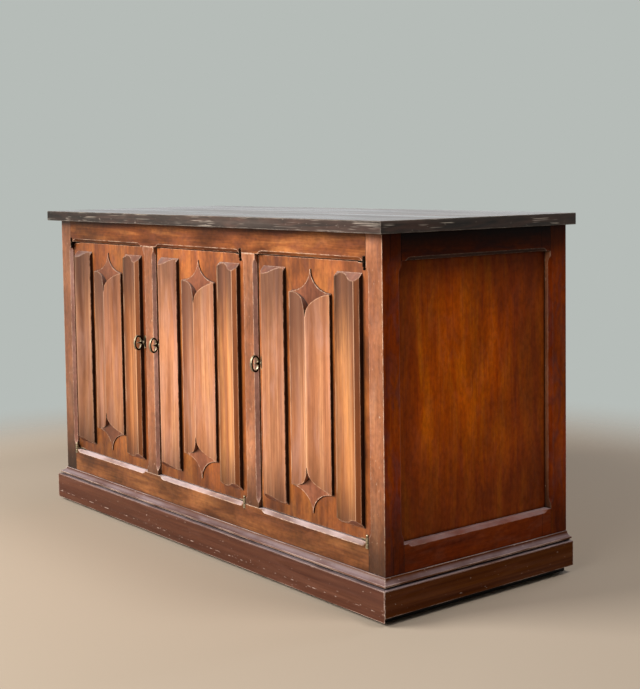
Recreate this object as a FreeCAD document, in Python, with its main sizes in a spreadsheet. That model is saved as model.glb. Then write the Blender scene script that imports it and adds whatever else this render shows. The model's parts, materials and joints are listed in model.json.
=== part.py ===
import FreeCAD, Part
import math
import os
import re

import Sketcher

# Credenza with three linenfold doors, in millimetres.
# +X runs to the right along the front, +Y to the back and +Z up.
# The origin is on the floor under the middle of the top slab.

SIZES = {
    # Case
    "case_width": 1360,  # across the posts
    "case_depth": 543,  # front of the frame to the back of the posts
    "overall_height": 813,
    "top_thickness": 26,
    "top_overhang_front": 28.5,
    "top_overhang_side": 29.5,
    "top_arris": 1.5,  # worn rounding of the slab's edges
    # Posts, mullions and rails
    "post_width": 51,
    "mullion_width": 51,
    "frame_thickness": 30,
    "top_rail_height": 57.5,
    "bottom_rail_reveal": 58.5,  # seen above the base cap
    "bottom_rail_hidden": 30,  # runs down behind the base cap
    "tenon_length": 20,
    "tenon_thickness": 10,
    "tenon_shoulder": 8,
    "chamfer": 7.5,
    "chamfer_pilot": 11,  # radius of the cutter's guide, which rounds the stops
    "chamfer_stop": 26,  # corner of the opening to the cutter's last place
    # Side panels, back and inside
    "side_panel_thickness": 8,
    "side_panel_recess": 18,
    "panel_groove": 8,
    "panel_play": 1,  # room for the panel to swell in its groove
    "back_thickness": 10,
    "back_rebate": 12,
    "bottom_thickness": 18,
    "partition_thickness": 18,
    "shelf_thickness": 18,
    "shelf_height": 420,  # floor to the top of the shelf
    "shelf_setback": 12,  # behind the back of the frame
    "shelf_play": 1,
    "cleat_size": 20,
    # Doors
    "door_thickness": 20,
    "door_recess": 10,  # frame's front to the door's face
    "door_gap": 2,
    # Side folds of the doors, heights measured from the door's face
    "fold_margin": 20,  # door's edge to the fold
    "fold_end_margin": 23,
    "fold_width": 81,
    "fold_edge": 10,
    "fold_hollow": 2.5,
    "fold_hollow_in": 13.5,  # inner edge to the lowest line of the hollow
    "fold_ridge": 16.8,
    "fold_ridge_in": 10,  # outer edge to the ridge
    "fold_outer_edge": 9.8,
    # Centre fold and stars
    "fold_spacing": 19.5,  # side fold to centre fold
    "centre_edge": 7.6,
    "centre_hollow": 3.5,
    "centre_hollow_in": 14,
    "centre_crown": 21.5,  # height that each half would reach past the middle
    "centre_crease": 20,  # how far past the middle that crown lies
    "star_half_height": 50.5,
    "star_thickness": 3,
    "star_tip": 1.6,  # blunt width of each point
    # Keys and latches
    "key_above_middle": 43.5,
    "escutcheon_height": 34,
    "escutcheon_clear": 2,
    "escutcheon_thickness": 2,
    "bow_height": 39,
    "bow_width": 24,
    "bow_bar": 4.5,
    "bow_thickness": 7,
    "bow_cusp": 9,  # point that runs on from the stem into the bow's eye
    "bow_cusp_tip": 1.6,
    "bow_standoff": 10,  # door's face to the bow
    "collar_diameter": 10,
    "collar_length": 4,
    "collar_clear": 1,  # collar to the escutcheon
    "spindle_diameter": 6,
    "spindle_fit": 0.05,
    "cam_square": 4,
    "cam_width": 12,
    "cam_thickness": 3,
    "cam_gap": 1,
    "cam_overlap": 12,
    # Pivots
    "pivot_inset": 5,  # opening's edge to the pivot axis
    "pivot_depth": 1,  # frame's front to the pivot axis
    "pivot_pin": 4,
    "pivot_fit": 0.05,
    "pivot_eye": 8,
    "pivot_eye_height": 10,
    "pivot_knuckle_height": 10,  # of the frame's half, in front of the rail
    "pivot_finial": 6.5,
    "pivot_finial_clear": 0.3,
    "pivot_plate_length": 30,
    "pivot_plate_width": 14,
    "pivot_plate_thickness": 2,
    # Base
    "plinth_height": 73.5,
    "plinth_overhang": 20.5,
    "plinth_front_clear": 8,
    "plinth_side_clear": 17,
    "plinth_arris": 2.5,
    "cap_height": 19.5,
    "cap_overhang": 16,
    "cap_fillet": 2,
    "cap_lip": 4,
    "cap_groove_height": 4.5,
    "cap_groove_depth": 6,
    "cap_cove": 14,
    "runner_height": 17,
    "runner_inset": 3,
}

# Places worked out from the sizes.
PLACES = {
    "slab_depth": "case_depth + top_overhang_front",
    "slab_right": "case_right + top_overhang_side",
    "case_right": "case_width / 2",
    "case_front": "top_overhang_front - slab_depth / 2",
    "case_back": "slab_depth / 2",
    "case_top": "overall_height - top_thickness",
    "frame_back": "case_front + frame_thickness",
    "opening_low": "plinth_height + cap_height + bottom_rail_reveal",
    "opening_high": "case_top - top_rail_height",
    "bottom_rail_low": "plinth_height + cap_height - bottom_rail_hidden",
    "post_inside": "case_right - post_width",
    "bay_width": "(2 * post_inside - 2 * mullion_width) / 3",
    "bay_pitch": "bay_width + mullion_width",
    "tenon_front": "case_front + (frame_thickness - tenon_thickness) / 2",
    "tenon_back": "tenon_front + tenon_thickness",
    "back_inside": "case_back - back_thickness",
    "partition_middle": "bay_pitch / 2",
    "shelf_front": "frame_back + shelf_setback",
    "shelf_low": "shelf_height - shelf_thickness",
    "door_face": "case_front + door_recess",
    "door_back": "door_face + door_thickness",
    "door_half": "bay_width / 2 - door_gap",
    "door_low": "opening_low + door_gap",
    "door_high": "opening_high - door_gap",
    "door_middle": "(door_low + door_high) / 2",
    "fold_half_length": "(door_high - door_low) / 2 - fold_end_margin",
    "fold_outer": "door_half - fold_margin",
    "fold_inner": "fold_outer - fold_width",
    "fold_hollow_at": "fold_inner + fold_hollow_in",
    "fold_ridge_at": "fold_outer - fold_ridge_in",
    "fold_rise": "fold_ridge - fold_hollow",
    "fold_drop": "fold_edge - fold_hollow",
    "fold_cove": "(fold_hollow_in^2 + fold_drop^2) / (2 * fold_drop)",
    "fold_sweep": "((fold_ridge_at - fold_hollow_at)^2 + fold_rise^2) / (4 * fold_rise)",
    "centre_half": "fold_inner - fold_spacing",
    "centre_hollow_at": "centre_half - centre_hollow_in",
    "centre_rise": "centre_crown - centre_hollow",
    "centre_drop": "centre_edge - centre_hollow",
    "centre_cove": "(centre_hollow_in^2 + centre_drop^2) / (2 * centre_drop)",
    "centre_sweep": "((centre_hollow_at + centre_crease)^2 + centre_rise^2) / (4 * centre_rise)",
    "centre_ridge": "centre_crown - centre_sweep + sqrt(centre_sweep^2 - centre_crease^2)",
    "star_offset": "fold_half_length - star_half_height",
    "key_height": "door_middle + key_above_middle",
    "key_inset": "fold_margin / 2",
    "bow_middle": "door_face - bow_standoff - bow_width / 2",
    "cam_front": "frame_back + cam_gap",
    "pivot_axis": "case_front + pivot_depth",
}

DOORS = (  # name, bay counted from the middle, hinge side
    ("left", -1, -1),
    ("middle", 0, 1),
    ("right", 1, 1),
)

X_WAY = FreeCAD.Vector(1, 0, 0)
Y_WAY = FreeCAD.Vector(0, 1, 0)
Z_WAY = FreeCAD.Vector(0, 0, 1)

doc = FreeCAD.newDocument("Credenza")
sheet = doc.addObject("Spreadsheet::Sheet", "Sizes")
for row, (alias, amount) in enumerate(SIZES.items(), start=1):
    sheet.set(f"A{row}", alias)
    sheet.set(f"B{row}", str(amount))
    sheet.setAlias(f"B{row}", alias)
doc.recompute()

pieces = []


def formula(words):
    """Write a formula in the words above as an expression on the sheet's cells."""

    def look_up(found):
        word = found.group(0)
        if word in SIZES:
            return f"Sizes.{word}"
        if word in PLACES:
            return f"({formula(PLACES[word])})"
        return word

    return re.sub(r"[a-z]\w*", look_up, words)


def bind(thing, name, words):
    thing.setExpression(name, formula(words))


def amount_of(words):
    return float(sheet.evalExpression(formula(words)))


def place(thing, x, y, z):
    bind(thing, "Placement.Base.x", x)
    bind(thing, "Placement.Base.y", y)
    bind(thing, "Placement.Base.z", z)


def axes(along, up):
    """Turn that lays local X along one way and local Z up another."""
    return FreeCAD.Rotation(along, up.cross(along), up, "ZXY")


def box(name, x, y, z):
    """Board between two places on each axis."""
    board = doc.addObject("Part::Box", name)
    place(board, x[0], y[0], z[0])
    bind(board, "Length", f"{x[1]} - ({x[0]})")
    bind(board, "Width", f"{y[1]} - ({y[0]})")
    bind(board, "Height", f"{z[1]} - ({z[0]})")
    return board


def rod(name, diameter, length, at, way):
    """Round bar from a point along one way."""
    bar = doc.addObject("Part::Cylinder", name)
    bind(bar, "Radius", f"({diameter}) / 2")
    bind(bar, "Height", length)
    bar.Placement.Rotation = FreeCAD.Rotation(Z_WAY, way)
    place(bar, *at)
    return bar


def oval(name, reach, breadth, thickness, at, along, way):
    """Flat oval bar: one radius lies along a way, one across it, and its thickness runs another way."""
    ring = doc.addObject("Part::Ellipse", f"{name}_line")
    bind(ring, "MajorRadius", f"max({reach}; {breadth})")
    bind(ring, "MinorRadius", f"min({reach}; {breadth})")
    bind(ring, "Placement.Rotation.Angle", f"{reach} >= {breadth} ? 0 : 90")
    bar = doc.addObject("Part::Extrusion", name)
    bar.Base = ring
    bar.DirMode = "Custom"
    bar.Dir = Z_WAY
    bind(bar, "LengthFwd", thickness)
    bar.Solid = True
    bar.Placement.Rotation = axes(along, way)
    place(bar, *at)
    return bar


def fuse(name, parts):
    if len(parts) == 1:
        return parts[0]
    joined = doc.addObject("Part::MultiFuse", name)
    joined.Shapes = parts
    joined.Refine = True
    return joined


def cut(name, base, tools):
    remaining = doc.addObject("Part::Cut", name)
    remaining.Base = base
    remaining.Tool = fuse(f"{name}_tools", tools)
    return remaining


def common(name, base, tool):
    shared = doc.addObject("Part::Common", name)
    shared.Base = base
    shared.Tool = tool
    return shared


def group(name, solids):
    """Like pieces kept together as separate solids."""
    bundle = doc.addObject("Part::Compound", name)
    bundle.Links = solids
    return bundle


def piece(thing, label):
    """Record a finished sub-part under the name of its file."""
    thing.Label = label
    pieces.append((label, thing))


def arc_between(start, end, bend):
    """Shorter arc between two points, centred to the left of travel for a positive bend."""
    half = (end - start) * 0.5
    reach = math.sqrt(bend * bend - half.Length * half.Length)
    left = FreeCAD.Vector(-half.y, half.x, 0).normalize()
    centre = start + half + left * math.copysign(reach, bend)
    first, last = (start, end) if bend > 0 else (end, start)
    angles = [math.atan2(point.y - centre.y, point.x - centre.x) for point in (first, last)]
    return Part.ArcOfCircle(Part.Circle(centre, Z_WAY, abs(bend)), *angles)


def outline(body, corners):
    """Closed sketch through (x, y) corners; a third item bends the edge that leaves the corner."""
    sketch = body.newObject("Sketcher::SketchObject", f"{body.Name}_outline")
    ground = next(plane for plane in body.Origin.OriginFeatures if plane.Role == "XY_Plane")
    sketch.AttachmentSupport = [(ground, "")]
    sketch.MapMode = "FlatFace"
    points = [FreeCAD.Vector(amount_of(corner[0]), amount_of(corner[1]), 0) for corner in corners]
    bends = [amount_of(corner[2]) if len(corner) > 2 else 0 for corner in corners]
    for index, bend in enumerate(bends):
        start, end = points[index], points[(index + 1) % len(points)]
        edge = arc_between(start, end, bend) if bend else Part.LineSegment(start, end)
        sketch.addGeometry(edge, False)
    # A sketch arc always runs anticlockwise, so a right-hand bend starts at its second end.
    starts = [2 if bend < 0 else 1 for bend in bends]
    for index, corner in enumerate(corners):
        following = (index + 1) % len(corners)
        meet = Sketcher.Constraint("Coincident", index, 3 - starts[index], following, starts[following])
        sketch.addConstraint(meet)
        for kind, words, where in (
            ("DistanceX", corner[0], points[index].x),
            ("DistanceY", corner[1], points[index].y),
        ):
            dimension = Sketcher.Constraint(kind, -1, 1, index, starts[index], where)
            bind(sketch, f"Constraints[{sketch.addConstraint(dimension)}]", words)
        if bends[index]:
            dimension = Sketcher.Constraint("Radius", index, abs(bends[index]))
            bind(sketch, f"Constraints[{sketch.addConstraint(dimension)}]", f"abs({corner[2]})")
    return sketch


def prism(name, corners, length):
    """Body padded along its own Z from an outline on its own XY plane."""
    body = doc.addObject("PartDesign::Body", name)
    sketch = outline(body, corners)
    pad = body.newObject("PartDesign::Pad", f"{name}_pad")
    pad.Profile = sketch
    bind(pad, "Length", length)
    return body


def standing_prism(name, corners, low, high):
    """Prism with a plan outline, between two heights."""
    body = prism(name, corners, f"{high} - ({low})")
    bind(body, "Placement.Base.z", low)
    return body


def stopped_chamfer(name, run, at, along, into):
    """Cutter that a round-nosed 45 degree bit sweeps between its two stops, with its axis on a line."""
    trough = doc.addObject("Part::Wedge", f"{name}_trough")
    for corner, words in {
        "Xmin": "0",
        "Xmax": run,
        "X2min": "0",
        "X2max": run,
        "Ymin": "-chamfer",
        "Ymax": "chamfer",
        "Zmin": "-chamfer_pilot - 2 * chamfer",
        "Zmax": "chamfer_pilot + 2 * chamfer",
        "Z2min": "-chamfer_pilot",
        "Z2max": "chamfer_pilot",
    }.items():
        bind(trough, corner, words)
    trough.Placement.Rotation = FreeCAD.Rotation(X_WAY, 90)
    noses = []
    for stop in ("0", run):
        nose = doc.addObject("Part::Cone", f"{name}_nose")
        bind(nose, "Radius1", "chamfer_pilot + 2 * chamfer")
        bind(nose, "Radius2", "chamfer_pilot")
        bind(nose, "Height", "2 * chamfer")
        place(nose, stop, "0", "-chamfer")
        noses.append(nose)
    cutter = fuse(name, [trough, *noses])
    cutter.Placement.Rotation = axes(along, into)
    place(cutter, *at)
    return cutter


def upright_chamfer(name, edge, side):
    """Stopped chamfer on an upright front edge; side is +1 where the opening lies to its right."""
    at = (f"{edge} + {side} * chamfer_pilot", "case_front", "opening_low + chamfer_stop")
    return stopped_chamfer(name, "opening_high - opening_low - 2 * chamfer_stop", at, Z_WAY, Y_WAY)


def level_chamfers(name, edge, side):
    """Stopped chamfers on a front rail, one for each bay; side is +1 where the openings lie above."""
    chamfers = []
    for door, bay, _ in DOORS:
        left = f"{bay} * bay_pitch - bay_width / 2 + chamfer_stop"
        at = (left, "case_front", f"{edge} + {side} * chamfer_pilot")
        chamfers.append(stopped_chamfer(f"{name}_{door}", "bay_width - 2 * chamfer_stop", at, X_WAY, Y_WAY))
    return chamfers


def make_top_slab():
    slab = standing_prism(
        "top_slab_body",
        [
            ("-slab_right", "-slab_depth / 2"),
            ("slab_right", "-slab_depth / 2"),
            ("slab_right", "slab_depth / 2"),
            ("-slab_right", "slab_depth / 2"),
        ],
        "case_top",
        "overall_height",
    )
    doc.recompute()
    square_slab = slab.Tip
    arris = slab.newObject("PartDesign::Fillet", "top_slab_arris")
    arris.Base = (square_slab, [])
    arris.UseAllEdges = True
    bind(arris, "Radius", "top_arris")
    piece(slab, "top_slab")


def pivot_recesses(name, high):
    """Cutters for the pivot plates let into a front rail, at the hinge side of each opening."""
    return [
        recess
        for door, bay, hinge in DOORS
        for recess in pivot_plate_solids(f"{name}_{door}", bay, hinge, high)
    ]


def pivot_plate_solids(name, bay, hinge, high):
    """Plate, forward tab and round knuckle of one frame pivot, let into the rail by the opening."""
    axis = pivot_axis_x(bay, hinge)
    inner = f"{axis} - {hinge} * pivot_plate_length"
    outer = f"{axis} + {hinge} * pivot_eye / 2"
    side = (outer, inner) if hinge < 0 else (inner, outer)
    tab = (f"{axis} - pivot_eye / 2", f"{axis} + pivot_eye / 2")
    edge, way = "opening_high", Z_WAY
    depth = (edge, f"{edge} + pivot_plate_thickness")
    if not high:
        edge, way = "opening_low", -Z_WAY
        depth = (f"{edge} - pivot_plate_thickness", edge)
    return [
        box(f"{name}_plate", side, ("door_face", "door_face + pivot_plate_width"), depth),
        box(f"{name}_tab", tab, ("pivot_axis", "door_face"), depth),
        rod(f"{name}_knuckle", "pivot_eye", "pivot_knuckle_height", (axis, "pivot_axis", edge), way),
    ]


def pivot_axis_x(bay, hinge):
    return f"{bay} * bay_pitch + {hinge} * (bay_width / 2 - pivot_inset)"


def rail_mortises(name, low, high):
    """Mortises in a front rail for the two mullions' tenons."""
    return [
        box(
            f"{name}_{bay_side}",
            (
                f"{sign} * partition_middle - mullion_width / 2 + tenon_shoulder",
                f"{sign} * partition_middle + mullion_width / 2 - tenon_shoulder",
            ),
            ("tenon_front", "tenon_back"),
            (low, high),
        )
        for bay_side, sign in (("left", -1), ("right", 1))
    ]


def make_front_rails():
    for name, low, high, edge, side, upper in (
        ("front_top_rail", "opening_high", "case_top", "opening_high", -1, True),
        ("front_bottom_rail", "bottom_rail_low", "opening_low", "opening_low", 1, False),
    ):
        span_x = ("-post_inside", "post_inside")
        board = box(f"{name}_board", span_x, ("case_front", "frame_back"), (low, high))
        tenon = box(
            f"{name}_tenon",
            ("-post_inside - tenon_length", "post_inside + tenon_length"),
            ("tenon_front", "tenon_back"),
            (f"{low} + tenon_shoulder", f"{high} - tenon_shoulder"),
        )
        mortise = (edge, f"{edge} + tenon_length") if upper else (f"{edge} - tenon_length", edge)
        cutters = level_chamfers(f"{name}_chamfer", edge, side)
        cutters += rail_mortises(f"{name}_mortise", *mortise)
        cutters += pivot_recesses(f"{name}_recess", upper)
        piece(cut(f"{name}_cut", fuse(f"{name}_blank", [board, tenon]), cutters), name)


def make_mullions():
    for side, sign in (("left", -1), ("right", 1)):
        name = f"mullion_{side}"
        middle = f"{sign} * partition_middle"
        low_edge = f"{middle} - mullion_width / 2"
        high_edge = f"{middle} + mullion_width / 2"
        height = ("opening_low", "opening_high")
        board = box(f"{name}_board", (low_edge, high_edge), ("case_front", "frame_back"), height)
        tenon = box(
            f"{name}_tenon",
            (f"{low_edge} + tenon_shoulder", f"{high_edge} - tenon_shoulder"),
            ("tenon_front", "tenon_back"),
            ("opening_low - tenon_length", "opening_high + tenon_length"),
        )
        chamfers = [
            upright_chamfer(f"{name}_chamfer_left", low_edge, -1),
            upright_chamfer(f"{name}_chamfer_right", high_edge, 1),
        ]
        piece(cut(f"{name}_cut", fuse(f"{name}_blank", [board, tenon]), chamfers), name)


def side_span(sign, near, far):
    """Span on X measured inward from the outer face of one side of the case."""
    low = f"{sign} * (case_right - ({far}))"
    high = f"{sign} * (case_right - ({near}))"
    return (low, high) if sign > 0 else (high, low)


SIDE_RAILS = (  # name, underside, top, edge that holds the panel, -1 where the panel lies below
    ("top", "opening_high", "case_top", "opening_high", -1),
    ("bottom", "bottom_rail_low", "opening_low", "opening_low", 1),
)


def groove_span(edge, panel_side):
    if panel_side < 0:
        return (edge, f"{edge} + panel_groove")
    return (f"{edge} - panel_groove", edge)


def side_tenon(name, sign, low, high, y):
    """Tenon of a side rail, or the mortise that takes it."""
    inset = "(frame_thickness - tenon_thickness) / 2"
    x = side_span(sign, inset, f"{inset} + tenon_thickness")
    return box(name, x, y, (f"{low} + tenon_shoulder", f"{high} - tenon_shoulder"))


def make_side_frames():
    front, back = "case_front + post_width", "case_back - post_width"
    groove_x = ("side_panel_recess", "side_panel_recess + side_panel_thickness")
    for side, sign in (("left", -1), ("right", 1)):
        outward = X_WAY * sign
        for part, low, high, edge, panel_side in SIDE_RAILS:
            name = f"side_{part}_rail_{side}"
            span_x = side_span(sign, "0", "frame_thickness")
            board = box(f"{name}_board", span_x, (front, back), (low, high))
            tenon_y = (f"{front} - tenon_length", f"{back} + tenon_length")
            tenon = side_tenon(f"{name}_tenon", sign, low, high, tenon_y)
            groove_z = groove_span(edge, panel_side)
            groove = box(f"{name}_groove", side_span(sign, *groove_x), (front, back), groove_z)
            pilot_z = f"{edge} + {panel_side} * chamfer_pilot"
            chamfer = stopped_chamfer(
                f"{name}_chamfer",
                "case_depth - 2 * post_width - 2 * chamfer_stop",
                (f"{sign} * case_right", f"{front} + chamfer_stop", pilot_z),
                Y_WAY,
                outward * -1,
            )
            piece(cut(f"{name}_cut", fuse(f"{name}_blank", [board, tenon]), [groove, chamfer]), name)
        panel = box(
            f"side_panel_{side}",
            side_span(sign, *groove_x),
            (f"{front} - panel_groove + panel_play", f"{back} + panel_groove - panel_play"),
            ("opening_low - panel_groove + panel_play", "opening_high + panel_groove - panel_play"),
        )
        piece(panel, f"side_panel_{side}")


def post_side_cuts(name, sign, face, way):
    """Mortises, panel groove and stopped chamfer where a side frame meets a post's face."""
    depth = (f"{face} - tenon_length", face) if way > 0 else (face, f"{face} + tenon_length")
    cutters = [
        side_tenon(f"{name}_{part}_mortise", sign, low, high, depth)
        for part, low, high, _, _ in SIDE_RAILS
    ]
    groove_y = (f"{face} - panel_groove", face) if way > 0 else (face, f"{face} + panel_groove")
    cutters.append(
        box(
            f"{name}_groove",
            side_span(sign, "side_panel_recess", "side_panel_recess + side_panel_thickness"),
            groove_y,
            ("opening_low - panel_groove", "opening_high + panel_groove"),
        )
    )
    cutters.append(
        stopped_chamfer(
            f"{name}_side_chamfer",
            "opening_high - opening_low - 2 * chamfer_stop",
            (f"{sign} * case_right", f"{face} + {way} * chamfer_pilot", "opening_low + chamfer_stop"),
            Z_WAY,
            X_WAY * -sign,
        )
    )
    return cutters


def make_posts():
    for side, sign in (("left", -1), ("right", 1)):
        span_x = side_span(sign, "0", "post_width")
        height = ("runner_height", "case_top")

        name = f"front_post_{side}"
        board = box(f"{name}_board", span_x, ("case_front", "case_front + post_width"), height)
        cutters = post_side_cuts(name, sign, "case_front + post_width", 1)
        cutters.append(upright_chamfer(f"{name}_chamfer", f"{sign} * post_inside", -sign))
        for part, low, high, _, _ in SIDE_RAILS:
            cutters.append(
                box(
                    f"{name}_{part}_front_mortise",
                    side_span(sign, "post_width - tenon_length", "post_width"),
                    ("tenon_front", "tenon_back"),
                    (f"{low} + tenon_shoulder", f"{high} - tenon_shoulder"),
                )
            )
        piece(cut(f"{name}_cut", board, cutters), name)

        name = f"back_post_{side}"
        board = box(f"{name}_board", span_x, ("case_back - post_width", "case_back"), height)
        cutters = post_side_cuts(name, sign, "case_back - post_width", -1)
        cutters.append(
            box(
                f"{name}_rebate",
                side_span(sign, "post_width - back_rebate", "post_width"),
                ("back_inside", "case_back"),
                ("bottom_rail_low", "case_top"),
            )
        )
        piece(cut(f"{name}_cut", board, cutters), name)


def make_back_and_bottom():
    back = box(
        "back_panel",
        ("-post_inside - back_rebate", "post_inside + back_rebate"),
        ("back_inside", "case_back"),
        ("bottom_rail_low", "case_top"),
    )
    piece(back, "back_panel")

    rail_y = ("back_inside - frame_thickness", "back_inside")
    rail = box("back_top_rail", ("-post_inside", "post_inside"), rail_y, ("opening_high", "case_top"))
    piece(rail, "back_top_rail")

    floor_z = ("opening_low - bottom_thickness", "opening_low")
    inside = "case_right - frame_thickness"
    board = box("bottom_board_blank", (f"-({inside})", inside), ("frame_back", "back_inside"), floor_z)
    notches = [
        box(f"bottom_board_notch_{side}_{end}", side_span(sign, "0", "post_width"), y, floor_z)
        for side, sign in (("left", -1), ("right", 1))
        for end, y in (
            ("front", ("case_front", "case_front + post_width")),
            ("back", ("case_back - post_width", "case_back")),
        )
    ]
    piece(cut("bottom_board_cut", board, notches), "bottom_board")


def make_partitions_and_shelves():
    half = "partition_thickness / 2"
    for side, sign in (("left", -1), ("right", 1)):
        middle = f"{sign} * partition_middle"
        span_x = (f"{middle} - {half}", f"{middle} + {half}")
        height = ("opening_low", "case_top")
        board = box(f"partition_{side}_board", span_x, ("frame_back", "back_inside"), height)
        notch_y = ("back_inside - frame_thickness", "back_inside")
        notch = box(f"partition_{side}_notch", span_x, notch_y, ("opening_high", "case_top"))
        piece(cut(f"partition_{side}_cut", board, [notch]), f"partition_{side}")

    cleats = []
    depth = ("shelf_front", "back_inside")
    for name, low, high in (
        ("left", "-post_inside", f"-partition_middle - {half}"),
        ("middle", f"-partition_middle + {half}", f"partition_middle - {half}"),
        ("right", f"partition_middle + {half}", "post_inside"),
    ):
        shelf = box(
            f"shelf_{name}",
            (f"{low} + shelf_play", f"{high} - shelf_play"),
            ("shelf_front", "back_inside - shelf_play"),
            ("shelf_low", "shelf_height"),
        )
        piece(shelf, f"shelf_{name}")
        level = ("shelf_low - cleat_size", "shelf_low")
        cleats.append(box(f"cleat_{name}_low", (low, f"{low} + cleat_size"), depth, level))
        cleats.append(box(f"cleat_{name}_high", (f"{high} - cleat_size", high), depth, level))
    piece(group("shelf_cleat_group", cleats), "shelf_cleats")


def mitred_run(name, profile, overhang, run):
    """Length of moulding on the front or one side of the case, mitred where runs meet."""
    reach = f"2 * {overhang}"
    right, out = "case_right", f"case_right + {reach}"
    left, left_out = "-case_right", f"-({out})"
    ahead = f"case_front - {reach}"
    side_length = f"case_depth + {reach}"
    plan, start, turn, length = {
        "front": (
            [(left_out, ahead), (out, ahead), (right, "case_front"), (left, "case_front")],
            (out, "case_front", "0"),
            FreeCAD.Rotation(Y_WAY * -1, Z_WAY, X_WAY * -1, "XYZ"),
            f"2 * ({out})",
        ),
        "left": (
            [(left, "case_front"), (left, "case_back"), (left_out, "case_back"), (left_out, ahead)],
            (left, ahead, "0"),
            FreeCAD.Rotation(X_WAY * -1, Z_WAY, Y_WAY, "XYZ"),
            side_length,
        ),
        "right": (
            [(right, "case_front"), (out, ahead), (out, "case_back"), (right, "case_back")],
            (right, "case_back", "0"),
            FreeCAD.Rotation(X_WAY, Z_WAY, Y_WAY * -1, "XYZ"),
            side_length,
        ),
    }[run]
    moulding = prism(f"{name}_moulding", profile, length)
    moulding.Placement.Rotation = turn
    place(moulding, *start)
    mitre = standing_prism(f"{name}_mitre", plan, "0", "opening_low")
    piece(common(f"{name}_cut", moulding, mitre), name)


def make_base():
    cap_top = "plinth_height + cap_height"
    lip_low = "plinth_height + cap_groove_height"
    neck = "cap_overhang - cap_groove_depth"
    cap_profile = [
        ("0", "plinth_height"),
        (neck, "plinth_height"),
        (neck, lip_low),
        ("cap_overhang", lip_low),
        ("cap_overhang", f"{lip_low} + cap_lip", "-cap_cove"),
        ("cap_fillet", cap_top),
        ("0", cap_top),
    ]
    for run, clear in (
        ("front", "plinth_front_clear"),
        ("left", "plinth_side_clear"),
        ("right", "plinth_side_clear"),
    ):
        plinth_profile = [
            ("0", clear),
            ("plinth_overhang", clear),
            ("plinth_overhang", "plinth_height - plinth_arris", "plinth_arris"),
            ("plinth_overhang - plinth_arris", "plinth_height"),
            ("0", "plinth_height"),
        ]
        mitred_run(f"plinth_{run}", plinth_profile, "plinth_overhang", run)
        mitred_run(f"base_cap_{run}", cap_profile, "cap_overhang", run)
    for side, sign in (("left", -1), ("right", 1)):
        runner = box(
            f"base_runner_{side}",
            side_span(sign, "runner_inset", "post_width"),
            ("case_front + runner_inset", "case_back - runner_inset"),
            ("0", "runner_height"),
        )
        piece(runner, f"base_runner_{side}")


def make_pivot_plates():
    """Plates let into the rails, each with a pin that ends in a small finial."""
    plates = []
    for door, bay, hinge in DOORS:
        axis = pivot_axis_x(bay, hinge)
        for end, high in (("top", True), ("bottom", False)):
            name = f"pivot_plate_{door}_{end}"
            edge, sign = ("opening_high", "-1") if high else ("opening_low", "1")
            length = "door_gap + pivot_eye_height + pivot_finial_clear + pivot_finial / 2"
            pin = rod(f"{name}_pin", "pivot_pin", length, (axis, "pivot_axis", edge), Z_WAY * int(sign))
            finial = doc.addObject("Part::Sphere", f"{name}_finial")
            bind(finial, "Radius", "pivot_finial / 2")
            place(finial, axis, "pivot_axis", f"{edge} + {sign} * ({length})")
            plates.append(fuse(name, pivot_plate_solids(name, bay, hinge, high) + [pin, finial]))
    piece(group("pivot_plate_group", plates), "pivot_plates")


def leaf_plate(name, bay, hinge, z):
    """Plate of a door pivot leaf, let into the door's top or bottom edge."""
    axis = pivot_axis_x(bay, hinge)
    inner = f"{axis} - {hinge} * pivot_plate_length"
    outer = f"{bay} * bay_pitch + {hinge} * door_half"
    span_x = (outer, inner) if hinge < 0 else (inner, outer)
    return box(name, span_x, ("door_face", "door_face + pivot_plate_width"), z)


LEAF_HEIGHTS = (  # end, plate's span, eye's span
    (
        "top",
        ("door_high - pivot_plate_thickness", "door_high"),
        ("door_high - pivot_eye_height", "door_high"),
    ),
    (
        "bottom",
        ("door_low", "door_low + pivot_plate_thickness"),
        ("door_low", "door_low + pivot_eye_height"),
    ),
)


def make_pivot_leaves(door, bay, hinge):
    axis = pivot_axis_x(bay, hinge)
    leaves = []
    for end, plate_z, eye_z in LEAF_HEIGHTS:
        name = f"pivot_leaf_{door}_{end}"
        at = (axis, "pivot_axis", eye_z[0])
        eye_width = (f"{axis} - pivot_eye / 2", f"{axis} + pivot_eye / 2")
        blank = fuse(
            f"{name}_blank",
            [
                leaf_plate(f"{name}_plate", bay, hinge, plate_z),
                box(f"{name}_neck", eye_width, ("pivot_axis", "door_face"), plate_z),
                rod(f"{name}_eye", "pivot_eye", "pivot_eye_height", at, Z_WAY),
            ],
        )
        bore = rod(f"{name}_bore", "pivot_pin + 2 * pivot_fit", "pivot_eye_height", at, Z_WAY)
        leaves.append(cut(name, blank, [bore]))
    piece(group(f"pivot_leaf_group_{door}", leaves), f"door_{door}_pivot_leaves")


def key_axis_x(bay, hinge):
    return f"{bay} * bay_pitch - {hinge} * (door_half - key_inset)"


def make_door_slab(door, bay, hinge):
    middle = f"{bay} * bay_pitch"
    name = f"door_{door}_slab"
    span_x = (f"{middle} - door_half", f"{middle} + door_half")
    board = box(f"{name}_board", span_x, ("door_face", "door_back"), ("door_low", "door_high"))
    at = (key_axis_x(bay, hinge), "door_face", "key_height")
    cutters = [rod(f"{name}_bore", "spindle_diameter + 2 * spindle_fit", "door_thickness", at, Y_WAY)]
    for end, plate_z, _ in LEAF_HEIGHTS:
        cutters.append(leaf_plate(f"{name}_recess_{end}", bay, hinge, plate_z))
    piece(cut(f"{name}_cut", board, cutters), name)


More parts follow.
